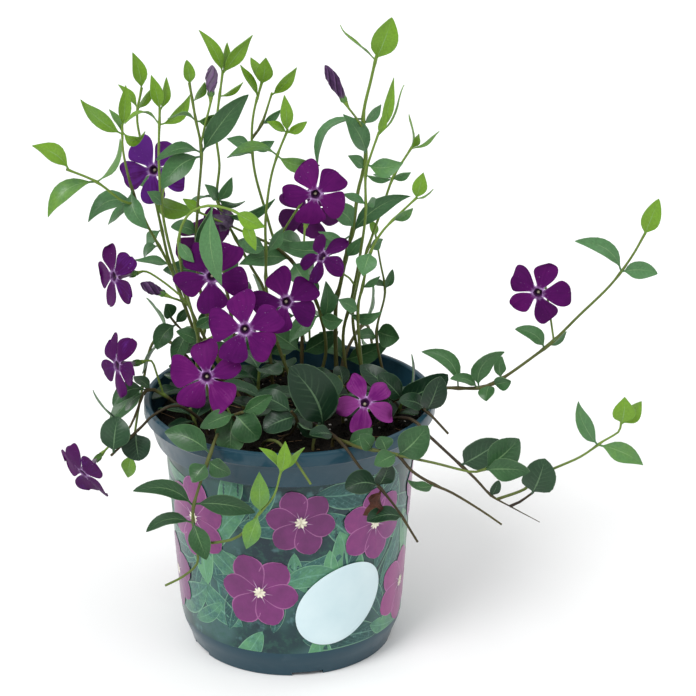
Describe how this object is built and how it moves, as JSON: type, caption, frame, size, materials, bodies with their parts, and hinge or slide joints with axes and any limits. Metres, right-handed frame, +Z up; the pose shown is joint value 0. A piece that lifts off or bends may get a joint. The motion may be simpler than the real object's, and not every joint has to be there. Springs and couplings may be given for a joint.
{
  "type": "potted dark purple lesser periwinkle",
  "caption": "Flowering lesser periwinkle with upright and trailing leafy shoots and dark purple pinwheel flowers, growing in soil in a round plastic nursery pot.",
  "frame": {"origin": "centre of the pot's base, on the surface that the pot stands on", "axes": "+Z up along the pot's axis, +X to the right and -Y to the front, the side that the picture shows"},
  "size_m": [0.2469, 0.1887, 0.2648],
  "materials": {
    "pot": "satin",
    "soil": "matte",
    "young_leaf": "satin",
    "grown_leaf": "satin",
    "dark_leaf": "satin",
    "petal": "matte",
    "bud": "matte"
  },
  "bodies": {
    "root": {"bloom_back_2": "petal", "bloom_back_4": "petal", "bloom_behind": "petal", "bloom_centre": "petal", "bloom_far_left": "petal", "bloom_front_left": "petal", "bloom_left_large": "petal", "bloom_left_low": "petal", "bloom_lowest": "petal", "bloom_middle": "petal", "bloom_on_soil": "petal", "bloom_right": "petal", "bloom_side": "petal", "bloom_top": "petal", "bud_left": "bud", "bud_top_left": "bud", "bud_top_right": "bud", "pot": "pot", "runner_left": "dark_leaf", "runner_right_forked": "dark_leaf", "runner_right_front": "grown_leaf", "runner_right_high": "grown_leaf", "shoot_back_1": "grown_leaf", "shoot_back_2": "grown_leaf", "shoot_back_3": "grown_leaf", "shoot_back_4": "grown_leaf", "shoot_back_5": "grown_leaf", "shoot_centre": "young_leaf", "shoot_centre_left": "grown_leaf", "shoot_centre_tall": "young_leaf", "shoot_forked_top": "young_leaf", "shoot_front_arch": "young_leaf", "shoot_left_arching": "young_leaf", "shoot_left_flowering": "grown_leaf", "shoot_left_green": "grown_leaf", "shoot_left_inner": "young_leaf", "shoot_left_small": "grown_leaf", "shoot_left_tall": "young_leaf", "shoot_low_1": "dark_leaf", "shoot_low_2": "dark_leaf", "shoot_low_3": "dark_leaf", "shoot_low_4": "dark_leaf", "shoot_low_5": "dark_leaf", "shoot_low_6": "dark_leaf", "shoot_low_7": "dark_leaf", "shoot_low_8": "dark_leaf", "shoot_low_9": "dark_leaf", "shoot_on_soil": "grown_leaf", "shoot_right_low": "young_leaf", "shoot_right_outer": "young_leaf", "shoot_right_second": "young_leaf", "shoot_right_tall": "young_leaf", "shoot_right_thin": "grown_leaf", "shoot_rim_left": "grown_leaf", "shoot_rim_right": "dark_leaf", "shoot_soil_dark": "dark_leaf", "soil": "soil", "stub_front": "dark_leaf", "stub_right": "dark_leaf"}
  },
  "joints": []
}
